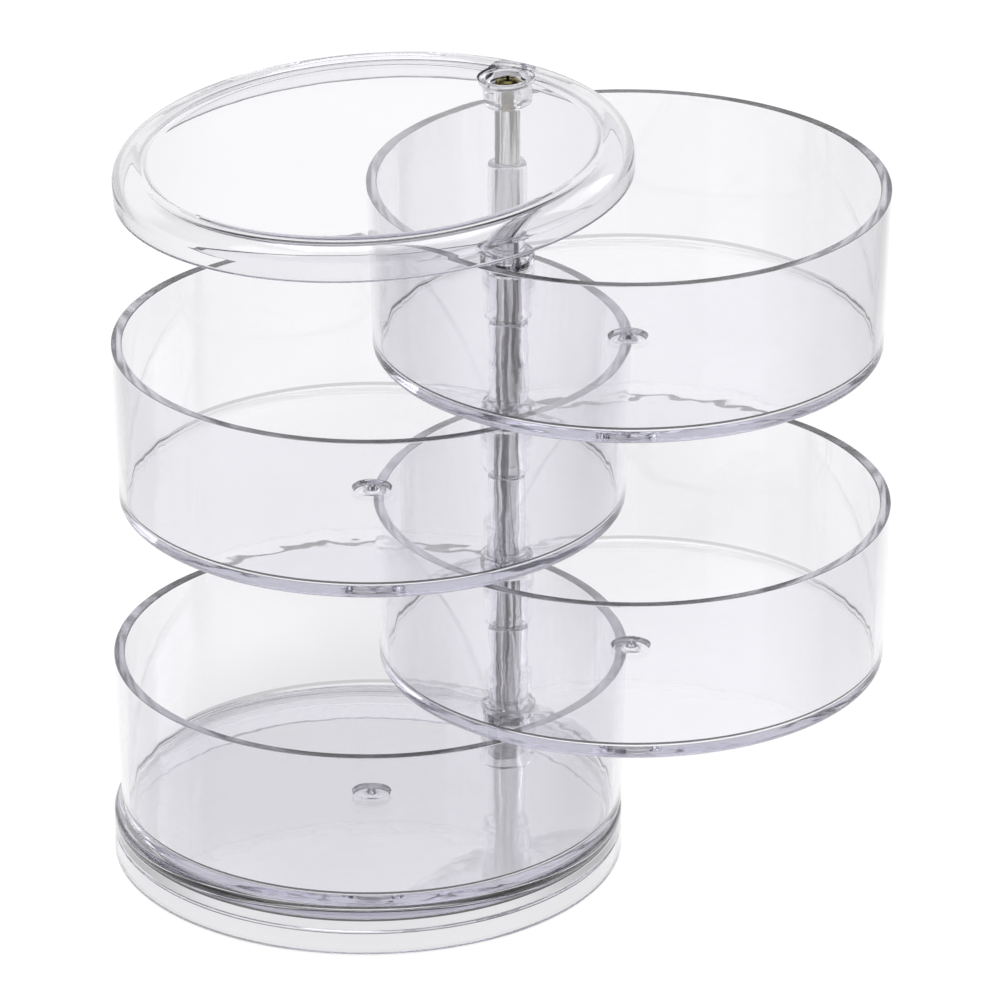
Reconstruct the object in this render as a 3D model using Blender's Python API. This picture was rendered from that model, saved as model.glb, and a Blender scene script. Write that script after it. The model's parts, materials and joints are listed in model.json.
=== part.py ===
"""Clear swivel tray caddy: four round trays and a lid that swing on one upright rod.

Metres, +Z up. The base stands on z = 0 and the outside box is centred on x = y = 0.
"""
from math import cos, pi, radians, sin

import bmesh
import bpy
from mathutils import Matrix, Vector

MM = 0.001

# Driving sizes, in millimetres
SWING = 50.0            # rod axis to the middle of every tray, the base and the lid
GAP = 0.3               # between pieces that touch on the real object
TRAY_R = 60.0
TRAY_H = 39.0
TRAY_DRAFT = 1.2        # the outside is this much smaller across its radius at the foot
RIM_WALL = 2.5
FOOT_WALL = 2.05
FLOOR = 2.5
FLOOR_FILLET = 1.2
BASE_R = 59.8
BASE_H = 11.4
BASE_PLATE = 3.5
LID_R = 59.8
LID_H = 9.06            # to the crest of the raised rim
LID_TOP = 7.8           # to the flat top inside the rim
LID_WALL = 2.0
LID_SHOULDER = 5.2      # radius of the rounded edge
ROD_R = 3.0
STUD_R = 2.5            # the rod's lower end, through the base
RUN_CLEAR = 0.2         # rod to the bore of a turning bush

# How far each piece is swung out, in degrees: positive is to +X
TRAY_SWING = (33.6, -38.9, 35.2, -39.9)   # tray_1 at the top to tray_4
BASE_SWING = -41.2
LID_SWING = -38.2

# The lid hangs a little low on its loose centre screw
LID_TILT = 3.5
LID_LOW_SIDE = 189.3    # heading of the low side, in degrees from +X
LID_TILT_Z = 174.5      # height of the point it tips about
LID_SEAT = 3.2          # that point above the lid's lower edge

PITCH = TRAY_H + GAP
TRAY_Z = [BASE_H + GAP + PITCH * (3 - level) for level in range(4)]

SLEEVE_TOP = 12.3       # top of a bush's sleeve below its tray's rim
SLEEVE_R = 4.65
FLANGE_R = 6.4
FLANGE_H = 3.5
SKIRT_R = 5.7
SKIRT_WALL = 0.75
SKIRT_H = 11.0          # how far a bush reaches below its tray

HUB_R = 5.85
HUB_FLANGE_R = 6.65
HUB_FLANGE_H = 2.3
HUB_TOP = 7.6           # above the lid's lower edge
HUB_BOTTOM = -0.6
RECESS_R = 4.95
RECESS_H = 3.2
SCREW_BORE_R = 1.95
SCREW_R = 1.5
HEAD_R = 2.9
HEAD_H = 2.0
ROD_TOP = 170.2
SCREW_HOLE_H = 10.0

NUT_FLATS = 8.0
NUT_H = 4.0
WASHER_H = 1.0
LID_WASHER_H = 0.5
POCKET_R = 5.4
POCKET_WALL = 1.3
POCKET_LOW = 0.6        # the pocket's wall stops short of the table
POCKET_TOP = BASE_H - BASE_PLATE - 0.2

SEGMENTS = 64
FINE_SEGMENTS = 28


def swing_point(angle):
    """Middle of a piece swung out by angle, seen from the rod, in millimetres."""
    turn = radians(angle)
    return Vector((SWING * sin(turn), -SWING * cos(turn), 0.0))


def rod_place():
    """Where the rod stands, so that the outside box is centred on x = y = 0."""
    rounds = [(swing_point(angle), TRAY_R) for angle in TRAY_SWING]
    rounds.append((swing_point(BASE_SWING), BASE_R))
    low = [min(middle[i] - radius for middle, radius in rounds) for i in range(2)]
    high = [max(middle[i] + radius for middle, radius in rounds) for i in range(2)]
    return Vector((-(low[0] + high[0]) / 2, -(low[1] + high[1]) / 2, 0.0))


ROD = rod_place()


def material(name, colour, roughness, metallic=0.0, alpha=1.0):
    """A Principled material of its own for one piece."""
    made = bpy.data.materials.new(name)
    made.use_nodes = True
    shader = made.node_tree.nodes["Principled BSDF"]
    shader.inputs["Base Color"].default_value = (*colour, 1.0)
    shader.inputs["Roughness"].default_value = roughness
    shader.inputs["Metallic"].default_value = metallic
    shader.inputs["Alpha"].default_value = alpha
    made.diffuse_color = (*colour, alpha)
    return made


def clear_plastic(name):
    return material(name, (0.9, 0.91, 0.94), 0.05, alpha=0.3)


def chrome(name):
    return material(name, (0.78, 0.79, 0.78), 0.12, metallic=1.0)


def steel(name):
    return material(name, (0.56, 0.56, 0.55), 0.3, metallic=1.0)


def brass(name):
    return material(name, (0.55, 0.47, 0.24), 0.28, metallic=1.0)


def arc(middle_r, middle_z, size_r, size_z, start, end, steps):
    """Points (r, z) on part of an ellipse, from start to end degrees."""
    points = []
    for i in range(steps + 1):
        turn = radians(start + (end - start) * i / steps)
        points.append((middle_r + size_r * cos(turn), middle_z + size_z * sin(turn)))
    return points


def finish_mesh(name, bm, paint, smooth=True):
    """Turn a bmesh in metres into a named object."""
    bmesh.ops.recalc_face_normals(bm, faces=bm.faces)
    mesh = bpy.data.meshes.new(name)
    bm.to_mesh(mesh)
    bm.free()
    mesh.materials.append(paint)
    if smooth:
        mesh.shade_smooth()
        mesh.set_sharp_from_angle(angle=radians(35))
    made = bpy.data.objects.new(name, mesh)
    bpy.context.scene.collection.objects.link(made)
    return made


def revolve(name, profile, paint, segments=SEGMENTS):
    """A closed solid turned about its own Z from (r, z) points in millimetres."""
    bm = bmesh.new()
    rings = []
    for r, z in profile:
        count = 1 if r == 0 else segments
        ring = []
        for i in range(count):
            turn = 2 * pi * i / segments
            ring.append(bm.verts.new((r * cos(turn) * MM, r * sin(turn) * MM, z * MM)))
        rings.append(ring)
    closed = profile[0][0] != 0 or profile[-1][0] != 0
    pairs = list(zip(rings, rings[1:]))
    if closed:
        pairs.append((rings[-1], rings[0]))
    for first, second in pairs:
        for i in range(segments):
            quad = [first[i % len(first)], first[(i + 1) % len(first)],
                    second[(i + 1) % len(second)], second[i % len(second)]]
            corners = list(dict.fromkeys(quad))
            if len(corners) > 2:
                bm.faces.new(corners)
    return finish_mesh(name, bm, paint)


def prism(name, outline, low, high, paint):
    """A straight solid from an outline of (x, y) points in millimetres."""
    bm = bmesh.new()
    floor = [bm.verts.new((x * MM, y * MM, low * MM)) for x, y in outline]
    roof = [bm.verts.new((x * MM, y * MM, high * MM)) for x, y in outline]
    bm.faces.new(floor)
    bm.faces.new(roof)
    for i in range(len(outline)):
        j = (i + 1) % len(outline)
        bm.faces.new((floor[i], floor[j], roof[j], roof[i]))
    return finish_mesh(name, bm, paint, smooth=False)


def round_outline(radius, steps):
    return [(radius * cos(2 * pi * i / steps), radius * sin(2 * pi * i / steps)) for i in range(steps)]


def cut(target, cutter):
    """Take cutter out of target, and hide the cutter."""
    boolean = target.modifiers.new("cut", "BOOLEAN")
    boolean.operation = "DIFFERENCE"
    boolean.solver = "EXACT"
    boolean.object = cutter
    cutter.hide_render = True
    cutter.display_type = "WIRE"


def pivot(name, x, y, z, turn=Matrix.Identity(4)):
    """An empty on a turning axis. Place in millimetres."""
    made = bpy.data.objects.new(name, None)
    made.empty_display_size = 0.01
    made.matrix_world = Matrix.Translation(Vector((x, y, z)) * MM) @ turn
    bpy.context.scene.collection.objects.link(made)
    return made


def hang(child, parent, x=0.0, y=0.0, z=0.0):
    """Put child at a place in its parent's own axes, in millimetres."""
    child.parent = parent
    child.location = Vector((x, y, z)) * MM


def rod_hole(name, parent, radius, low, high):
    """The cutter for a hole round the rod."""
    cutter = prism(name, round_outline(radius, FINE_SEGMENTS), low, high, steel(name))
    hang(cutter, parent)
    return cutter


def tray_profile():
    foot_r = TRAY_R - TRAY_DRAFT
    corner_r = foot_r - FOOT_WALL - FLOOR_FILLET
    return [
        (0, 0),
        *arc(foot_r - 1.4, 1.4, 1.4, 1.4, -90, 0, 3),
        (TRAY_R, TRAY_H),
        (TRAY_R - RIM_WALL, TRAY_H),
        *arc(corner_r, FLOOR + FLOOR_FILLET, FLOOR_FILLET, FLOOR_FILLET, 0, -90, 3),
        (0, FLOOR),
    ]


def bush_profile(skirt):
    """Half section of a tray's bush about the rod, from the tray's underside."""
    bore = ROD_R + RUN_CLEAR
    top = TRAY_H - SLEEVE_TOP
    flange_z = FLOOR + GAP
    outside = [
        (SKIRT_R, flange_z),
        (FLANGE_R - 0.4, flange_z),
        (FLANGE_R, flange_z + 0.4),
        (FLANGE_R, flange_z + FLANGE_H),
        (SLEEVE_R + 0.3, flange_z + FLANGE_H),
        (SLEEVE_R, flange_z + FLANGE_H + 0.6),
        (SLEEVE_R - 0.1, top - 0.3),
        (SLEEVE_R - 0.5, top),
        (bore, top),
    ]
    if not skirt:
        return [(bore, GAP), (SKIRT_R, GAP), *outside]
    inside = SKIRT_R - SKIRT_WALL
    return [(bore, GAP), (inside, GAP), (inside, -SKIRT_H), (SKIRT_R, -SKIRT_H), *outside]


def tray(level):
    """One tray and its bush, swung out about the rod."""
    name = f"tray_{level + 1}"
    turn = Matrix.Rotation(radians(TRAY_SWING[level]), 4, "Z")
    axis = pivot(f"{name}_pivot", ROD.x, ROD.y, TRAY_Z[level], turn)
    dish = revolve(name, tray_profile(), clear_plastic(name))
    hang(dish, axis, y=-SWING)
    cut(dish, rod_hole(f"{name}_hole", axis, SKIRT_R + GAP, -1, FLOOR + 1))
    bush = f"{name}_bush"
    hang(revolve(bush, bush_profile(level < 3), clear_plastic(bush), FINE_SEGMENTS), axis)


def base():
    """The foot: a shallow dish turned over, with a pocket for the nut."""
    turn = Matrix.Rotation(radians(BASE_SWING), 4, "Z")
    axis = pivot("base_pivot", ROD.x, ROD.y, 0, turn)
    under = BASE_H - BASE_PLATE
    profile = [
        (0, BASE_H),
        *arc(BASE_R - 1.8, BASE_H - 1.8, 1.8, 1.8, 90, 0, 3),
        (BASE_R, 0),
        (BASE_R - 2.2, 0),
        (BASE_R - 2.2, 4.7),
        (BASE_R - 4.4, 4.9),
        (BASE_R - 4.6, under),
        (0, under),
    ]
    foot = revolve("base", profile, clear_plastic("base"))
    hang(foot, axis, y=-SWING)
    wall = prism("base_boss", round_outline(POCKET_R + POCKET_WALL, FINE_SEGMENTS), POCKET_LOW,
                 under + 1, clear_plastic("base_boss"))
    hang(wall, axis)
    join = foot.modifiers.new("boss", "BOOLEAN")
    join.operation = "UNION"
    join.solver = "EXACT"
    join.object = wall
    wall.hide_render = True
    wall.display_type = "WIRE"
    cut(foot, rod_hole("base_pocket", axis, POCKET_R, -1, POCKET_TOP))
    cut(foot, rod_hole("base_hole", axis, STUD_R + GAP, -1, BASE_H + 1))


def rod_and_nut():
    """The rod, standing on the base, with the washer and nut on its lower end."""
    axis = pivot("rod_foot", ROD.x, ROD.y, 0)
    rod = revolve("spindle_rod", [
        (0, 1.3),
        (STUD_R - 0.4, 1.3),
        (STUD_R, 1.7),
        (STUD_R, BASE_H + GAP),
        (ROD_R, BASE_H + GAP),
        (ROD_R, ROD_TOP - 0.4),
        (ROD_R - 0.4, ROD_TOP),
        (SCREW_R + GAP, ROD_TOP),
        (SCREW_R + GAP, ROD_TOP - SCREW_HOLE_H),
        (0, ROD_TOP - SCREW_HOLE_H),
    ], chrome("spindle_rod"), FINE_SEGMENTS)
    hang(rod, axis)
    washer_top = POCKET_TOP - GAP
    hang(ring("bottom_washer", STUD_R + GAP, POCKET_R - 0.4, washer_top - WASHER_H, washer_top,
              steel("bottom_washer")), axis)
    nut_top = washer_top - WASHER_H - GAP
    corner = NUT_FLATS / 2 / cos(pi / 6)
    nut = prism("bottom_nut", round_outline(corner, 6), nut_top - NUT_H, nut_top, steel("bottom_nut"))
    hang(nut, axis)
    cut(nut, rod_hole("nut_hole", axis, STUD_R + GAP, -1, BASE_H))


def ring(name, inner, outer, low, high, paint):
    """A flat washer."""
    return revolve(name, [(inner, low), (outer, low), (outer, high), (inner, high)], paint, FINE_SEGMENTS)


def lid_profile():
    """Half section of the lid from its lower edge: a rounded shoulder and a raised rim."""
    shoulder = LID_R - LID_SHOULDER
    spring = 3.6
    crest = LID_H - spring
    under = LID_TOP - LID_WALL
    return [
        (0, LID_TOP),
        (shoulder - 2.4, LID_TOP),
        (shoulder - 1.5, LID_H - 0.3),
        *arc(shoulder, spring, LID_SHOULDER, crest, 90, 0, 6),
        (LID_R, 0),
        (LID_R - LID_WALL, 0),
        *arc(shoulder, spring, LID_SHOULDER - LID_WALL, crest - LID_WALL, 0, 90, 4),
        (shoulder - 1.6, LID_H - LID_WALL - 0.3),
        (shoulder - 2.6, under),
        (0, under),
    ]


def hub_profile():
    """Half section of the lid's bush, from the lid's lower edge."""
    flange_z = HUB_TOP - HUB_FLANGE_H
    floor = HUB_TOP - RECESS_H
    return [
        (SCREW_BORE_R, HUB_BOTTOM),
        (HUB_R - 0.9, HUB_BOTTOM),
        (HUB_R - 0.2, HUB_BOTTOM + 0.7),
        (HUB_R, flange_z - 0.4),
        (HUB_FLANGE_R, flange_z),
        (HUB_FLANGE_R, HUB_TOP - 0.3),
        (HUB_FLANGE_R - 0.3, HUB_TOP),
        (RECESS_R + 0.2, HUB_TOP),
        (RECESS_R, HUB_TOP - 0.2),
        (RECESS_R, floor),
        (SCREW_BORE_R, floor),
    ]


def lid_tip():
    """Turn of the lid's low hang, about a level line through the rod."""
    heading = radians(LID_LOW_SIDE)
    level_line = Vector((-sin(heading), cos(heading), 0.0))
    return Matrix.Rotation(radians(LID_TILT), 4, level_line)


def lid():
    """The lid with its bush, tipped and swung out, and the washer under the screw."""
    tip = pivot("lid_tilt_pivot", ROD.x, ROD.y, LID_TILT_Z, lid_tip())
    washer_low = HUB_TOP - RECESS_H + 0.2 - LID_SEAT
    hang(ring("lid_washer", SCREW_R + GAP, RECESS_R - 0.45, washer_low, washer_low + LID_WASHER_H,
              steel("lid_washer")), tip)
    axis = pivot("lid_pivot", 0, 0, 0, Matrix.Rotation(radians(LID_SWING), 4, "Z"))
    axis.parent = tip
    shell = revolve("lid", lid_profile(), clear_plastic("lid"))
    hang(shell, axis, y=-SWING, z=-LID_SEAT)
    cut(shell, rod_hole("lid_hole", axis, HUB_FLANGE_R + GAP, -8, 12))
    hang(revolve("lid_bush", hub_profile(), clear_plastic("lid_bush"), FINE_SEGMENTS), axis, z=-LID_SEAT)


def top_screw():
    """The cross-slotted screw that holds the lid on the rod."""
    head_low = LID_TILT_Z - LID_SEAT + HUB_TOP - RECESS_H + 0.2 + LID_WASHER_H + GAP
    tip = ROD_TOP - SCREW_HOLE_H + 0.7 - head_low
    axis = pivot("screw_seat", ROD.x, ROD.y, head_low)
    screw = revolve("top_screw", [
        (0, tip),
        (SCREW_R, tip),
        (SCREW_R, 0),
        (HEAD_R, 0),
        (HEAD_R, 0.9),
        *arc(0, 0.9, HEAD_R, HEAD_H - 0.9, 25, 90, 3)[:-1],
        (0, HEAD_H),
    ], brass("top_screw"), FINE_SEGMENTS)
    hang(screw, axis)
    half, arm = 0.35, 1.7
    cross = [(half, half), (half, arm), (-half, arm), (-half, half), (-arm, half), (-arm, -half),
             (-half, -half), (-half, -arm), (half, -arm), (half, -half), (arm, -half), (arm, half)]
    slot = prism("screw_slot", cross, 0.9, HEAD_H + 1, brass("screw_slot"))
    hang(slot, axis)
    cut(screw, slot)


def main():
    for old in list(bpy.data.objects):
        bpy.data.objects.remove(old, do_unlink=True)
    base()
    rod_and_nut()
    for level in range(4):
        tray(level)
    lid()
    top_screw()


main()
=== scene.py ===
"""Looks of the clear swivel tray caddy: clear moulded trays and lid on a bright rod."""

import json
from math import atan2, cos, pi, radians, sin

import bmesh
import bpy
from mathutils import Matrix, Vector

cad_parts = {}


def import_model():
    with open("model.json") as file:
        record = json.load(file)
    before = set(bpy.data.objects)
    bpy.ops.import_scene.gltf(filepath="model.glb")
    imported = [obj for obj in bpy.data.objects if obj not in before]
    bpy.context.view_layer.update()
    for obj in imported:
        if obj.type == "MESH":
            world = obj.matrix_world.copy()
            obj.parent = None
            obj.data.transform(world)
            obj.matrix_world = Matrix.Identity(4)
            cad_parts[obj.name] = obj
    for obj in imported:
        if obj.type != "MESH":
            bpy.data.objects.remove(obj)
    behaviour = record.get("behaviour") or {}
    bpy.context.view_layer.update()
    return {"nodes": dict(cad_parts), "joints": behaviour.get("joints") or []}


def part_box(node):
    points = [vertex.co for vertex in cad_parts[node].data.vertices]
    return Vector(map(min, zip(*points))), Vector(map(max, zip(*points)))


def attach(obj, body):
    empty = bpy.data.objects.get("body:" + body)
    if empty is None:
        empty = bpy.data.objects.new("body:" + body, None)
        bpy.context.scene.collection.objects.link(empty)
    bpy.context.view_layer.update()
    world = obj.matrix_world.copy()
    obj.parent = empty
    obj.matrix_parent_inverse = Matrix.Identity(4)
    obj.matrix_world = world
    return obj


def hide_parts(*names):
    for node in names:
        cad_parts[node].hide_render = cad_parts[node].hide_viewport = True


MM = 0.001

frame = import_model()

# Sizes that repeat part.py's, in millimetres
SWING = 50.0
GAP = 0.3
TRAY_R, TRAY_H, TRAY_DRAFT, FLOOR = 60.0, 39.0, 1.2, 2.5
RIM_WALL, FOOT_WALL, FLOOR_FILLET, WALL = 2.5, 2.05, 1.2, 2.0
BASE_R, BASE_H, BASE_PLATE = 59.8, 11.4, 3.5
LID_R, LID_H, LID_TOP, LID_SEAT = 59.8, 9.06, 7.8, 3.2
LID_SHOULDER = 5.2
ROD_R, STUD_R, ROD_TOP, STUD_LOW = 3.0, 2.5, 170.2, 1.3
SLEEVE_TOP, SLEEVE_R = 12.3, 4.65
FLANGE_R, FLANGE_H = 6.4, 3.5
SKIRT_R, SKIRT_WALL, SKIRT_H = 5.7, 0.75, 11.0
HUB_R, HUB_FLANGE_R, HUB_FLANGE_H, HUB_TOP, HUB_BOTTOM = 5.85, 6.65, 2.3, 7.6, -0.6
RECESS_R, RECESS_H, SCREW_BORE_R, SCREW_R = 4.95, 3.2, 1.95, 1.5
SCREW_HOLE_H = 10.0
POCKET_R, POCKET_WALL, POCKET_LOW = 5.4, 1.3, 0.6

# Sizes only the looks have, in millimetres
FOOT_ROUND = 1.4
RIM_ROUND_OUT, RIM_ROUND_IN = 0.15, 0.25
BASE_ROUND = 1.8
SMALL_ROUND = 0.3
LEDGE_LOW, LEDGE_HIGH = 4.7, 5.1
BORE_PLAY = 0.2
LID_SPRING = 3.6
MARK_R, MARK_DEPTH = 4.6, 0.75

# Clear plastic
PLASTIC_IOR = 1.57
TINT = (0.951, 0.946, 0.967)
LID_TINT = (0.932, 0.927, 0.948)
DEPTH_COLOUR, DEPTH_DENSITY = (0.53, 0.52, 0.64), 10.0
WAVES, LID_WAVES = 0.00006, 0.00003
RIM_ROUGH = 0.16
# Painted shade on the clear pieces: the share of colour kept at their left and right ends, where those ends
# start and finish in metres, and where the front half ends, on which the painted lines are darker
END_PAINTED_SHADE, ENDS, FRONT_HALF = 0.93, (0.03, 0.057), (-0.02, 0.01)

# Camera: lens in mm, distance in metres, angle down in degrees
LENS, SENSOR, DISTANCE, PITCH = 310.5, 36.0, 2.046, 24.12
AIM_FROM_ROD = (-0.0018, 0.0, 0.0712)
BOUNCES = 32

# Floor, in metres: its size, how far it lies under the foot, and where its light starts and ends fading
FLOOR_REACH, FLOOR_DROP = 20.0, -0.0002
FADE_NEAR, FADE_FAR, FADE_SIDE = (0.08, 0.2), (0.6, 1.6), (0.12, 0.3)
WIDENING = -0.055

# Floor light as a part of white: away from the pool, and the share of the pool kept in front
FLOOR_LIGHT, FRONT_SHARE = 0.7, 0.5

# Directions the white backdrop fades between: upward part and backward part of a unit vector
BACKDROP_TOP, BACKDROP_SIDE = (0.5, 0.62), (0.55, 0.2)
LAMP_AIM = (0, 0, 0.1)

# Steps round a turned piece, and the angle in degrees from which an edge is sharp
SEGMENTS = 480
FINE_SEGMENTS = 96
SHARP = 40

joints = {joint["name"]: joint for joint in frame["joints"]}
ROD = Vector(joints["tray_1_swivel"]["pos_m"][:2] + [0.0])


# ---------------------------------------------------------------- materials

def node(tree, kind, **values):
    """A new shader node with its properties or inputs set."""
    made = tree.nodes.new(kind)
    for key, value in values.items():
        if hasattr(made, key):
            setattr(made, key, value)
        else:
            made.inputs[key.replace("_", " ").title()].default_value = value
    return made


def blank(name):
    """A new material, its node tree and its Principled shader."""
    made = bpy.data.materials.new(name)
    made.use_nodes = True
    return made, made.node_tree, made.node_tree.nodes["Principled BSDF"]


def noise(tree, scale, detail=3.0, stretch=(1, 1, 1)):
    """Noise fixed to the piece, with scale in waves per metre."""
    coords = node(tree, "ShaderNodeTexCoord")
    warp = node(tree, "ShaderNodeMapping")
    warp.inputs["Scale"].default_value = stretch
    wave = node(tree, "ShaderNodeTexNoise")
    wave.inputs["Scale"].default_value = scale
    wave.inputs["Detail"].default_value = detail
    tree.links.new(coords.outputs["Object"], warp.inputs["Vector"])
    tree.links.new(warp.outputs["Vector"], wave.inputs["Vector"])
    return wave.outputs["Fac"]


def ranged(tree, source, low, high):
    """source from 0 to 1 spread over low to high."""
    spread = node(tree, "ShaderNodeMapRange")
    spread.inputs["To Min"].default_value = low
    spread.inputs["To Max"].default_value = high
    tree.links.new(source, spread.inputs["Value"])
    return spread.outputs["Result"]


def ramp(tree, source, stops):
    """A colour ramp with (position, colour) stops."""
    made = node(tree, "ShaderNodeValToRGB")
    elements = made.color_ramp.elements
    while len(elements) < len(stops):
        elements.new(0.5)
    for element, (position, colour) in zip(elements, stops):
        element.position = position
        element.color = (*colour, 1.0)
    tree.links.new(source, made.inputs["Fac"])
    return made.outputs["Color"]


def bump(tree, source, height):
    """A normal that source pushes in and out by height in metres."""
    made = node(tree, "ShaderNodeBump")
    made.inputs["Strength"].default_value = 1.0
    made.inputs["Distance"].default_value = height
    tree.links.new(source, made.inputs["Height"])
    return made.outputs["Normal"]


def maths(tree, operation, first, second=0.0):
    """A maths node on two sockets, or on a socket and a number."""
    made = node(tree, "ShaderNodeMath", operation=operation)
    for socket, value in zip(made.inputs, (first, second)):
        if isinstance(value, float):
            socket.default_value = value
        else:
            tree.links.new(value, socket)
    return made.outputs["Value"]


def fade(tree, source, start, end):
    """1 up to start, falling softly to 0 at end."""
    made = node(tree, "ShaderNodeMapRange", interpolation_type="SMOOTHSTEP")
    made.inputs["From Min"].default_value = start
    made.inputs["From Max"].default_value = end
    made.inputs["To Min"].default_value = 1.0
    made.inputs["To Max"].default_value = 0.0
    tree.links.new(source, made.inputs["Value"])
    return made.outputs["Result"]


def clear_plastic(name, tint=TINT, waves=WAVES, matt_above=None, lines=(), bands=()):
    """Clear moulded plastic: bends light, darkens in its depth, takes painted shade along lines and bands
    and towards its ends, and is faintly wavy.
    """
    made, tree, shader = blank(name)
    shader.inputs["Transmission Weight"].default_value = 1.0
    shader.inputs["IOR"].default_value = PLASTIC_IOR
    lighter = tuple(min(1.0, c * 1.012) for c in tint)
    colour = ramp(tree, noise(tree, 45.0), [(0.3, tint), (0.7, lighter)])
    tree.links.new(with_painted_shade(tree, colour, lines, bands), shader.inputs["Base Color"])
    gloss = ranged(tree, noise(tree, 160.0, 5.0), 0.0, 0.03)
    if matt_above is not None:
        gloss = maths(tree, "ADD", gloss, matt_rim(tree, matt_above))
    tree.links.new(gloss, shader.inputs["Roughness"])
    flow = noise(tree, 90.0, 1.5, stretch=(1, 1, 0.8))
    tree.links.new(bump(tree, flow, waves), shader.inputs["Normal"])
    absorb = node(tree, "ShaderNodeVolumeAbsorption")
    absorb.inputs["Color"].default_value = (*DEPTH_COLOUR, 1.0)
    absorb.inputs["Density"].default_value = DEPTH_DENSITY
    tree.links.new(absorb.outputs["Volume"], tree.nodes["Material Output"].inputs["Volume"])
    return made


def with_painted_shade(tree, colour, lines, bands):
    """colour with painted shade towards the left and right ends, and painted dark shade on each line and
    band.

    A line is a ring of the surface: (low z, high z, low r, high r) in millimetres, then its shade on the
    front half and on the back half. A band is such a ring with one shade, which it only reaches towards
    the front's left and right.
    """
    coords = node(tree, "ShaderNodeTexCoord")
    split = node(tree, "ShaderNodeSeparateXYZ")
    tree.links.new(coords.outputs["Object"], split.inputs["Vector"])
    flat = node(tree, "ShaderNodeVectorMath", operation="MULTIPLY")
    flat.inputs[1].default_value = (1.0, 1.0, 0.0)
    tree.links.new(coords.outputs["Object"], flat.inputs[0])
    radius = node(tree, "ShaderNodeVectorMath", operation="LENGTH")
    tree.links.new(flat.outputs["Vector"], radius.inputs[0])
    middling = fade(tree, maths(tree, "ABSOLUTE", split.outputs["X"]), *ENDS)
    in_front = fade(tree, split.outputs["Y"], *FRONT_HALF)
    endward = maths(tree, "MULTIPLY", in_front, maths(tree, "SUBTRACT", 1.0, middling))
    rings = [(ring[:4], in_front, ring[4], ring[5]) for ring in lines]
    rings += [(ring[:4], endward, ring[4], 1.0) for ring in bands]
    # painted shade: the colour darkens towards the left and right ends
    total = ranged(tree, middling, END_PAINTED_SHADE, 1.0)
    # painted shade: each line and band darkens the colour on its ring of the surface
    for (low_z, high_z, low_r, high_r), where, shade, elsewhere in rings:
        inside = maths(tree, "MULTIPLY", between(tree, split.outputs["Z"], low_z, high_z),
                       between(tree, radius.outputs["Value"], low_r, high_r))
        loss = maths(tree, "MULTIPLY", inside, ranged(tree, where, 1 - elsewhere, 1 - shade))
        total = maths(tree, "MULTIPLY", total, maths(tree, "SUBTRACT", 1.0, loss))
    scaled = node(tree, "ShaderNodeVectorMath", operation="SCALE")
    tree.links.new(colour, scaled.inputs[0])
    tree.links.new(total, scaled.inputs["Scale"])
    return scaled.outputs["Vector"]


def between(tree, source, low, high):
    """1 where source in metres lies between two distances in millimetres, else 0."""
    return maths(tree, "MULTIPLY", maths(tree, "GREATER_THAN", source, low * MM),
                 maths(tree, "LESS_THAN", source, high * MM))


def matt_rim(tree, height):
    """Roughness for a rim that has lost its shine, above a height in metres in the piece's own axes."""
    coords = node(tree, "ShaderNodeTexCoord")
    split = node(tree, "ShaderNodeSeparateXYZ")
    tree.links.new(coords.outputs["Object"], split.inputs["Vector"])
    above = maths(tree, "GREATER_THAN", split.outputs["Z"], height)
    return maths(tree, "MULTIPLY", above, RIM_ROUGH)


def bright_metal(name, colour, rough, dull, drawn=None):
    """Polished or turned metal with fine marks round it and a little tarnish.

    drawn is how fine the upright streaks of drawn metal are, in waves per metre, and without it the
    tarnish is in patches.
    """
    made, tree, shader = blank(name)
    shader.inputs["Metallic"].default_value = 1.0
    grain = noise(tree, 220.0, 6.0) if drawn is None else noise(tree, drawn, 2.0, stretch=(1, 1, 0.03))
    tarnish = ramp(tree, grain, [(0.44, dull), (0.56, colour)])
    tree.links.new(tarnish, shader.inputs["Base Color"])
    marks = noise(tree, 600.0, 4.0, stretch=(0.3, 0.3, 6.0))
    tree.links.new(ranged(tree, marks, rough * 0.6, rough * 1.6), shader.inputs["Roughness"])
    tree.links.new(bump(tree, marks, 0.000006), shader.inputs["Normal"])
    return made


# ---------------------------------------------------------------- mesh tools

def arc(middle_r, middle_z, size_r, size_z, start, end, steps):
    """(r, z) points along part of an ellipse, from start to end in degrees."""
    points = []
    for i in range(steps + 1):
        turn = radians(start + (end - start) * i / steps)
        points.append((middle_r + size_r * cos(turn), middle_z + size_z * sin(turn)))
    return points


def held(profile, edge=0.08):
    """profile with two more points in each long straight stretch, so that shading stays flat there."""
    points = []
    for here, there in zip(profile, profile[1:] + profile[:1]):
        points.append(here)
        run = Vector(there) - Vector(here)
        if run.length > 12 * edge and not (here[0] == 0 and there[0] == 0):
            step = run.normalized() * edge
            if here[0] > 0:
                points.append((here[0] + step.x, here[1] + step.y))
            if there[0] > 0:
                points.append((there[0] - step.x, there[1] - step.y))
    return points


def mesh_object(name, bm, finish):
    """An object from a bmesh, smooth but for its sharp edges."""
    bmesh.ops.recalc_face_normals(bm, faces=bm.faces)
    mesh = bpy.data.meshes.new(name)
    bm.to_mesh(mesh)
    bm.free()
    mesh.materials.append(finish)
    mesh.shade_smooth()
    mesh.set_sharp_from_angle(angle=radians(SHARP))
    made = bpy.data.objects.new(name, mesh)
    bpy.context.scene.collection.objects.link(made)
    return made


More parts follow.
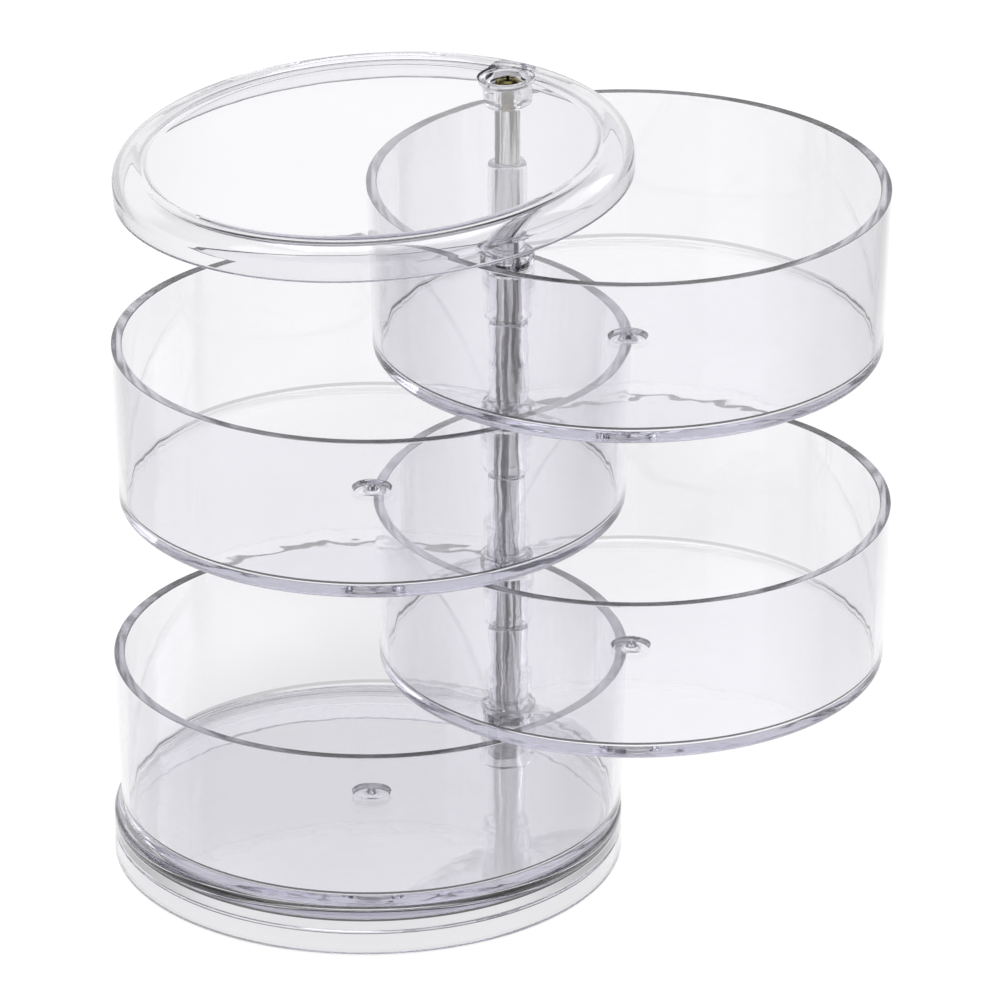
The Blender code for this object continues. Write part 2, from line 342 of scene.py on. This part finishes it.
def revolve(name, profile, finish, segments=SEGMENTS):
    """A closed solid turned about its own Z from (r, z) points in millimetres."""
    bm = bmesh.new()
    rings = []
    for r, z in held(profile):
        count = 1 if r == 0 else segments
        ring = []
        for i in range(count):
            turn = 2 * pi * i / segments
            ring.append(bm.verts.new((r * cos(turn) * MM, r * sin(turn) * MM, z * MM)))
        rings.append(ring)
    for first, second in zip(rings, rings[1:] + rings[:1]):
        for i in range(segments):
            quad = [first[i % len(first)], first[(i + 1) % len(first)],
                    second[(i + 1) % len(second)], second[i % len(second)]]
            corners = list(dict.fromkeys(quad))
            if len(corners) > 2:
                bm.faces.new(corners)
    return mesh_object(name, bm, finish)


def drill(piece, middle_xy, radius, low, high):
    """Cut a round hole through piece at a place in its own axes, in millimetres."""
    bm = bmesh.new()
    bmesh.ops.create_cone(bm, cap_ends=True, segments=FINE_SEGMENTS, radius1=radius * MM,
                          radius2=radius * MM, depth=(high - low) * MM)
    bmesh.ops.translate(bm, verts=bm.verts, vec=Vector((*middle_xy, (low + high) / 2)) * MM)
    combine(piece, bm, "DIFFERENCE")


def combine(piece, bm, operation):
    """Boolean of piece with a bmesh in the piece's own axes, applied."""
    bmesh.ops.recalc_face_normals(bm, faces=bm.faces)
    mesh = bpy.data.meshes.new("tool")
    bm.to_mesh(mesh)
    bm.free()
    tool = bpy.data.objects.new("tool", mesh)
    bpy.context.scene.collection.objects.link(tool)
    tool.matrix_world = piece.matrix_world
    change = piece.modifiers.new("change", "BOOLEAN")
    change.operation = operation
    change.solver = "EXACT"
    change.object = tool
    bpy.context.view_layer.update()
    graph = bpy.context.evaluated_depsgraph_get()
    result = bpy.data.meshes.new_from_object(piece.evaluated_get(graph))
    piece.modifiers.remove(change)
    piece.data = result
    result.shade_smooth()
    result.set_sharp_from_angle(angle=radians(SHARP))
    bpy.data.objects.remove(tool, do_unlink=True)


def place(piece, matrix, body, cad_node):
    """Put a piece in the row frame, ride it on its body, and let it stand for a CAD node."""
    piece.data.transform(matrix.to_3x3().to_4x4())
    piece.matrix_world = Matrix.Translation(matrix.translation)
    bpy.context.view_layer.update()
    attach(piece, body)
    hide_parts(cad_node)


# ---------------------------------------------------------------- where things are

def middle(name):
    """Middle of a CAD node's box."""
    low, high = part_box(name)
    return (low + high) / 2


def upright(name, z):
    """Axes of a dish: its middle in plan, at height z in metres, with -Y away from the rod."""
    centre = middle(name)
    away = Vector((centre.x - ROD.x, centre.y - ROD.y))
    turn = Matrix.Rotation(atan2(away.y, away.x) + pi / 2, 4, "Z")
    return Matrix.Translation((centre.x, centre.y, z)) @ turn


def lid_axes():
    """Axes of the lid: its turning point, with Z along its own swivel and -Y to its middle."""
    swivel = joints["lid_swivel"]
    up = Vector(swivel["axis"]).normalized()
    point = Vector(swivel["pos_m"])
    away = middle("lid") - point
    away = (away - up * away.dot(up)).normalized()
    side = (-away).cross(up)
    turn = Matrix((side, -away, up)).transposed().to_4x4()
    return Matrix.Translation(point) @ turn


# ---------------------------------------------------------------- pieces

def tray_profile():
    """Half the section of a tray, from the middle of its underside round to the middle of its floor."""
    foot_r = TRAY_R - TRAY_DRAFT
    inner_foot = foot_r - FOOT_WALL
    return [
        (0, 0),
        *arc(foot_r - FOOT_ROUND, FOOT_ROUND, FOOT_ROUND, FOOT_ROUND, -90, 0, 8),
        *arc(TRAY_R - RIM_ROUND_OUT, TRAY_H - RIM_ROUND_OUT, RIM_ROUND_OUT, RIM_ROUND_OUT, 0, 90, 3),
        *arc(TRAY_R - RIM_WALL + RIM_ROUND_IN, TRAY_H - RIM_ROUND_IN, RIM_ROUND_IN, RIM_ROUND_IN,
             90, 180, 4),
        *arc(inner_foot - FLOOR_FILLET, FLOOR + FLOOR_FILLET, FLOOR_FILLET, FLOOR_FILLET, 0, -90, 8),
        *gate_mark(FLOOR),
        (0, FLOOR),
    ]


def gate_mark(z):
    """The moulding's mark in the middle of a floor at height z: a round hollow with a small pip in it."""
    hollow = [(MARK_R + 0.15, z), (MARK_R, z - 0.1), (MARK_R - 0.1, z - MARK_DEPTH),
              *arc(3.8, z - 0.7, 0.6, 0.4, 0, -90, 3), (2.4, z - 0.9), (1.6, z - 0.5)]
    pip = [(1.3, z - 0.2), (1.05, z + 0.5), (0.6, z + 0.9), (0.35, z + 0.95), (0.25, z + 0.5)]
    return hollow + pip


def bush_profile(skirt):
    """The bush round the rod, in the tray's heights; all but the lowest tray's has a skirt below."""
    bore = ROD_R + BORE_PLAY
    top = TRAY_H - SLEEVE_TOP
    flange_z = FLOOR + GAP
    outside = [
        (SKIRT_R, flange_z),
        *arc(FLANGE_R - 0.4, flange_z + 0.4, 0.4, 0.4, -90, 0, 4),
        *arc(FLANGE_R - SMALL_ROUND, flange_z + FLANGE_H - SMALL_ROUND, SMALL_ROUND, SMALL_ROUND, 0, 90, 3),
        *arc(SLEEVE_R + 0.5, flange_z + FLANGE_H + 0.5, 0.5, 0.5, 270, 180, 4),
        *arc(SLEEVE_R - 0.6, top - 0.6, 0.5, 0.6, 0, 90, 5),
        (bore, top),
    ]
    if not skirt:
        return [(bore, GAP), (SKIRT_R, GAP), *outside]
    inside = SKIRT_R - SKIRT_WALL
    skirt_z = -SKIRT_H + SMALL_ROUND
    return [
        (bore, GAP),
        (inside, GAP),
        *arc(inside + SMALL_ROUND, skirt_z, SMALL_ROUND, SMALL_ROUND, 180, 270, 3),
        *arc(SKIRT_R - SMALL_ROUND, skirt_z, SMALL_ROUND, SMALL_ROUND, 270, 360, 3),
        *outside,
    ]


def tray(level):
    """One tray and its bush, on the body of the same name."""
    name = f"tray_{level}"
    low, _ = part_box(name)
    axes = upright(name, low.z)
    inner_foot = TRAY_R - TRAY_DRAFT - FOOT_WALL
    # painted shade: dark lines at the floor's corner, the foot's edge, the gate mark's wall and its pip,
    # darker on the front half
    lines = [  # the floor's corner, the foot's edge, the gate mark's wall and its pip
        (FLOOR + 0.55, FLOOR + 1.3, inner_foot - 1, inner_foot + 0.3, 0.02, 0.6),
        (0.2, 0.5, inner_foot, TRAY_R, 0.45, 0.7),
        (FLOOR - 0.7, FLOOR - 0.1, 4.3, 4.8, 0.3, 0.3),
        (FLOOR + 0.5, FLOOR + 1, 0, 1.2, 0.35, 0.35),
    ]
    # painted shade: bands on the foot, darker towards the front's left and right
    bands = [(0.6, 1.5, inner_foot, TRAY_R, 0.2), (1.9, 2.6, inner_foot, TRAY_R, 0.35)]
    skin = clear_plastic(f"clear_{name}", matt_above=(TRAY_H - 0.1) * MM, lines=lines, bands=bands)
    dish = revolve(f"{name}_dish", tray_profile(), skin)
    drill(dish, (0, SWING), SKIRT_R + GAP, -1, FLOOR + 1)
    place(dish, axes, name, name)
    skin = clear_plastic(f"clear_{name}_sleeve")
    sleeve = revolve(f"{name}_sleeve", bush_profile(level < 4), skin, FINE_SEGMENTS)
    place(sleeve, Matrix.Translation((ROD.x, ROD.y, low.z)), name, f"{name}_bush")


def base():
    """The foot: a shallow dish turned over, with a boss round the nut's pocket."""
    under = BASE_H - BASE_PLATE
    profile = [
        (0, BASE_H),
        *arc(BASE_R - BASE_ROUND, BASE_H - BASE_ROUND, BASE_ROUND, BASE_ROUND, 90, 0, 8),
        *arc(BASE_R - SMALL_ROUND, SMALL_ROUND, SMALL_ROUND, SMALL_ROUND, 0, -90, 3),
        *arc(BASE_R - 1.9, SMALL_ROUND, SMALL_ROUND, SMALL_ROUND, -90, -180, 3),
        (BASE_R - 2.2, LEDGE_LOW),
        (BASE_R - 2.4, LEDGE_LOW + 0.2),
        (BASE_R - 4.2, LEDGE_LOW + 0.2),
        (BASE_R - 4.4, LEDGE_HIGH),
        *arc(BASE_R - 5.0, under - 0.5, 0.5, 0.5, 0, 90, 4),
        (0, under),
    ]
    # painted shade: dark lines at the inner corner, the ledge and the top edge, darker on the front half
    lines = [  # the inner corner, the ledge and the top edge
        (under - 0.6, under - 0.05, BASE_R - 5.2, BASE_R - 4.2, 0.02, 0.3),
        (LEDGE_LOW + 0.02, LEDGE_HIGH - 0.1, BASE_R - 4.5, BASE_R - 1.9, 0.15, 0.5),
        (BASE_H - 0.7, BASE_H - 0.3, BASE_R - 1.5, BASE_R, 0.25, 0.5),
    ]
    # painted shade: bands on the skirt and the edge above it, darker towards the front's left and right
    bands = [  # the skirt and the edge above it
        (under - 1.2, under + 0.8, BASE_R - 0.5, BASE_R + 0.1, 0.25),
        (9.0, 9.9, BASE_R - 0.5, BASE_R + 0.1, 0.4),
    ]
    foot = revolve("base_foot", profile, clear_plastic("clear_base", lines=lines, bands=bands))
    boss = bmesh.new()
    height = under + 1 - POCKET_LOW
    boss_r = (POCKET_R + POCKET_WALL) * MM
    bmesh.ops.create_cone(boss, cap_ends=True, segments=FINE_SEGMENTS, radius1=boss_r, radius2=boss_r,
                          depth=height * MM)
    bmesh.ops.translate(boss, verts=boss.verts, vec=Vector((0, SWING, POCKET_LOW + height / 2)) * MM)
    combine(foot, boss, "UNION")
    drill(foot, (0, SWING), POCKET_R, -1, under - 0.2)
    drill(foot, (0, SWING), STUD_R + 0.3, -1, BASE_H + 1)
    place(foot, upright("base", 0), "base_and_rod", "base")


def lid_profile():
    """Half the section of the lid: a flat top, a raised crest and a rounded shoulder down to the rim."""
    shoulder = LID_R - LID_SHOULDER
    crest = LID_H - LID_SPRING
    under = LID_TOP - WALL
    return [
        (0, LID_TOP),
        (shoulder - 3.4, LID_TOP),
        (shoulder - 2.6, LID_TOP + 0.1),
        (shoulder - 1.9, LID_TOP + 0.5),
        (shoulder - 1.3, LID_H - 0.4),
        (shoulder - 0.7, LID_H - 0.1),
        *arc(shoulder, LID_SPRING, LID_SHOULDER, crest, 90, 0, 14),
        *arc(LID_R - SMALL_ROUND, SMALL_ROUND, SMALL_ROUND, SMALL_ROUND, 0, -90, 3),
        *arc(LID_R - WALL + SMALL_ROUND, SMALL_ROUND, SMALL_ROUND, SMALL_ROUND, -90, -180, 3),
        *arc(shoulder, LID_SPRING, LID_SHOULDER - WALL, crest - WALL, 0, 90, 10),
        (shoulder - 0.8, LID_H - WALL - 0.1),
        (shoulder - 1.5, LID_H - WALL - 0.4),
        (shoulder - 2.1, under + 0.4),
        (shoulder - 2.8, under + 0.1),
        (shoulder - 3.6, under),
        (0, under),
    ]


def hub_profile():
    """The lid's bush: a short barrel with a flange and a recess for the screw's head."""
    flange_z = HUB_TOP - HUB_FLANGE_H
    floor = HUB_TOP - RECESS_H
    return [
        (SCREW_BORE_R, HUB_BOTTOM),
        *arc(HUB_R - 1.2, HUB_BOTTOM + 0.9, 1.0, 0.9, -90, 0, 6),
        (HUB_R, flange_z - 0.4),
        (HUB_FLANGE_R, flange_z),
        *arc(HUB_FLANGE_R - 0.35, HUB_TOP - 0.35, 0.35, 0.35, 0, 90, 4),
        *arc(RECESS_R + 0.35, HUB_TOP - 0.35, 0.35, 0.35, 90, 180, 4),
        *arc(RECESS_R - SMALL_ROUND, floor + SMALL_ROUND, SMALL_ROUND, SMALL_ROUND, 0, -90, 3),
        (SCREW_BORE_R, floor),
    ]


def lid():
    """The lid and its bush, in the lid's own leaning axes."""
    axes = lid_axes()
    seat = axes @ Matrix.Translation((0, 0, -LID_SEAT * MM))
    skin = clear_plastic("clear_lid", tint=LID_TINT, waves=LID_WAVES)
    shell = revolve("lid_shell", lid_profile(), skin)
    drill(shell, (0, SWING), HUB_FLANGE_R + GAP, -5, 14)
    place(shell, seat @ Matrix.Translation((0, -SWING * MM, 0)), "lid", "lid")
    # painted shade: a dark ring on the wall of the bush's recess, where shade falls
    recess = [(HUB_TOP - RECESS_H + 0.2, HUB_TOP - 0.5, RECESS_R - 0.3, RECESS_R + 0.2, 0.35, 0.35)]
    hub = revolve("lid_hub", hub_profile(), clear_plastic("clear_lid_hub", lines=recess), FINE_SEGMENTS)
    place(hub, seat, "lid", "lid_bush")


# ---------------------------------------------------------------- metal

def paint(name, material):
    """Give a CAD node a better material."""
    part = frame["nodes"][name]
    part.data.materials.clear()
    part.data.materials.append(material)


def metal_pieces():
    """The rod, and better finishes for the screw, washers and nut."""
    rod = revolve("rod_polished", [
        (0, STUD_LOW),
        (STUD_R - 0.4, STUD_LOW),
        (STUD_R, STUD_LOW + 0.4),
        (STUD_R, BASE_H + GAP),
        (ROD_R, BASE_H + GAP),
        *arc(ROD_R - 0.4, ROD_TOP - 0.4, 0.4, 0.4, 0, 90, 4),
        (SCREW_R + GAP, ROD_TOP),
        (SCREW_R + GAP, ROD_TOP - SCREW_HOLE_H),
        (0, ROD_TOP - SCREW_HOLE_H),
    ], bright_metal("chrome_rod", (0.95, 0.95, 0.92), 0.06, (0.14, 0.14, 0.14), drawn=900.0), FINE_SEGMENTS)
    place(rod, Matrix.Translation(ROD), "base_and_rod", "spindle_rod")
    paint("top_screw", bright_metal("brass_screw", (0.3, 0.26, 0.11), 0.22, (0.12, 0.1, 0.04)))
    zinc = bright_metal("zinc_steel", (0.6, 0.6, 0.58), 0.25, (0.4, 0.4, 0.4))
    for name in ("lid_washer", "bottom_washer", "bottom_nut"):
        paint(name, zinc)


# ---------------------------------------------------------------- camera, light and floor

def camera():
    """The photo's view: from the front, looking down."""
    made = bpy.data.cameras.new("camera")
    made.lens = LENS
    made.sensor_width = SENSOR
    eye = bpy.data.objects.new("camera", made)
    bpy.context.scene.collection.objects.link(eye)
    aim = ROD + Vector(AIM_FROM_ROD)
    down = radians(PITCH)
    eye.location = aim + DISTANCE * Vector((0.0, -cos(down), sin(down)))
    eye.rotation_euler = (pi / 2 - down, 0.0, 0.0)
    bpy.context.scene.camera = eye


def pool_of_light(tree):
    """How brightly the floor glows: a painted pool of light, a soft-edged patch that reaches back, with
    three painted soft shadows of the caddy in it.
    """
    coords = node(tree, "ShaderNodeTexCoord")
    split = node(tree, "ShaderNodeSeparateXYZ")
    tree.links.new(coords.outputs["Object"], split.inputs["Vector"])
    across = maths(tree, "ABSOLUTE", split.outputs["X"])
    widening = maths(tree, "MULTIPLY", split.outputs["Y"], WIDENING)
    near = fade(tree, maths(tree, "MULTIPLY", split.outputs["Y"], -1.0), *FADE_NEAR)
    far = fade(tree, split.outputs["Y"], *FADE_FAR)
    side = fade(tree, maths(tree, "ADD", across, widening), *FADE_SIDE)
    lengthwise = maths(tree, "MULTIPLY", ranged(tree, near, FRONT_SHARE, 1.0), far)
    lit = maths(tree, "MULTIPLY", lengthwise, side)

    foot = middle("base")
    light = ranged(tree, lit, FLOOR_LIGHT, 1.0)
    # painted shadows: a contact shadow under the foot and two soft shadows of the caddy behind it
    shades = [  # middle x, y and half size across and along, where the edge starts, light kept
        (foot.x, foot.y, 0.0602, 0.0602, 0.98, 0.84),
        (foot.x, 0.04, 0.064, 0.104, 0.5, 0.85),
        (0.0, 0.2, 0.094, 0.11, 0.5, 0.92),
    ]
    for x, y, across_r, along_r, start, kept in shades:
        reach = spot(tree, coords.outputs["Object"], (x, y), (across_r, along_r))
        light = maths(tree, "MULTIPLY", light, ranged(tree, fade(tree, reach, start, 1.0), 1.0, kept))
    return light


def spot(tree, point, centre, size):
    """Distance of a point from a centre on the floor, as a part of the spot's size each way."""
    away = node(tree, "ShaderNodeVectorMath", operation="SUBTRACT")
    away.inputs[1].default_value = (*centre, 0.0)
    tree.links.new(point, away.inputs[0])
    part = node(tree, "ShaderNodeVectorMath", operation="MULTIPLY")
    part.inputs[1].default_value = (1 / size[0], 1 / size[1], 0.0)
    tree.links.new(away.outputs["Vector"], part.inputs[0])
    length = node(tree, "ShaderNodeVectorMath", operation="LENGTH")
    tree.links.new(part.outputs["Vector"], length.inputs[0])
    return length.outputs["Value"]


def floor():
    """A plain pale floor that glows with painted light, with a painted pool and painted shadows of the
    caddy in its glow.
    """
    made, tree, shader = blank("floor_painted_glow")
    shader.inputs["Base Color"].default_value = (0.04, 0.04, 0.04, 1.0)
    shader.inputs["Roughness"].default_value = 0.9
    shader.inputs["Specular IOR Level"].default_value = 0.0
    # painted light: the floor glows white, as strongly as the painted pool and shadows give
    shader.inputs["Emission Color"].default_value = (1.0, 1.0, 1.0, 1.0)
    tree.links.new(pool_of_light(tree), shader.inputs["Emission Strength"])
    bm = bmesh.new()
    bmesh.ops.create_grid(bm, x_segments=1, y_segments=1, size=FLOOR_REACH)
    bmesh.ops.translate(bm, verts=bm.verts, vec=(0.0, 0.0, FLOOR_DROP))
    sheet = mesh_object("floor", bm, made)


def world():
    """A dim studio with a white backdrop behind the caddy."""
    made = bpy.data.worlds.new("studio")
    bpy.context.scene.world = made
    made.use_nodes = True
    tree = made.node_tree
    back = tree.nodes["Background"]
    heading = node(tree, "ShaderNodeTexCoord")
    split = node(tree, "ShaderNodeSeparateXYZ")
    tree.links.new(heading.outputs["Generated"], split.inputs["Vector"])
    low = fade(tree, split.outputs["Z"], *BACKDROP_TOP)
    behind = fade(tree, split.outputs["Y"], *BACKDROP_SIDE)
    lit = maths(tree, "MULTIPLY", low, behind)
    colour = ramp(tree, lit, [(0.0, (0.05, 0.05, 0.055)), (1.0, (1.0, 1.0, 1.0))])
    tree.links.new(colour, back.inputs["Color"])
    back.inputs["Strength"].default_value = 1.0


def softbox(name, spot_xyz, aim, width, height, power):
    """A soft rectangular lamp, width by height in metres and power in watts."""
    made = bpy.data.lights.new(name, "AREA")
    made.shape = "RECTANGLE"
    made.size = width
    made.size_y = height
    made.energy = power
    lamp = bpy.data.objects.new(name, made)
    bpy.context.scene.collection.objects.link(lamp)
    lamp.location = spot_xyz
    lamp.rotation_euler = (Vector(aim) - Vector(spot_xyz)).to_track_quat("-Z", "Y").to_euler()


def lights():
    """A soft lamp overhead and a weaker one on each side."""
    softbox("top_box", (0.0, -0.1, 1.3), LAMP_AIM, 1.2, 1.0, 10.0)
    softbox("left_box", (-1.2, -0.9, 1.1), LAMP_AIM, 0.9, 0.9, 3.0)
    softbox("right_box", (1.3, 0.5, 0.9), LAMP_AIM, 1.0, 1.0, 5.0)


def render_settings():
    """Enough bounces for light that runs a long way inside the clear walls."""
    scene = bpy.context.scene
    scene.view_settings.view_transform = "Standard"
    scene.cycles.max_bounces = BOUNCES
    scene.cycles.transmission_bounces = BOUNCES
    scene.cycles.glossy_bounces = BOUNCES
    scene.cycles.transparent_max_bounces = BOUNCES


base()
for level in range(1, 5):
    tray(level)
lid()
metal_pieces()
camera()
floor()
world()
lights()
render_settings()
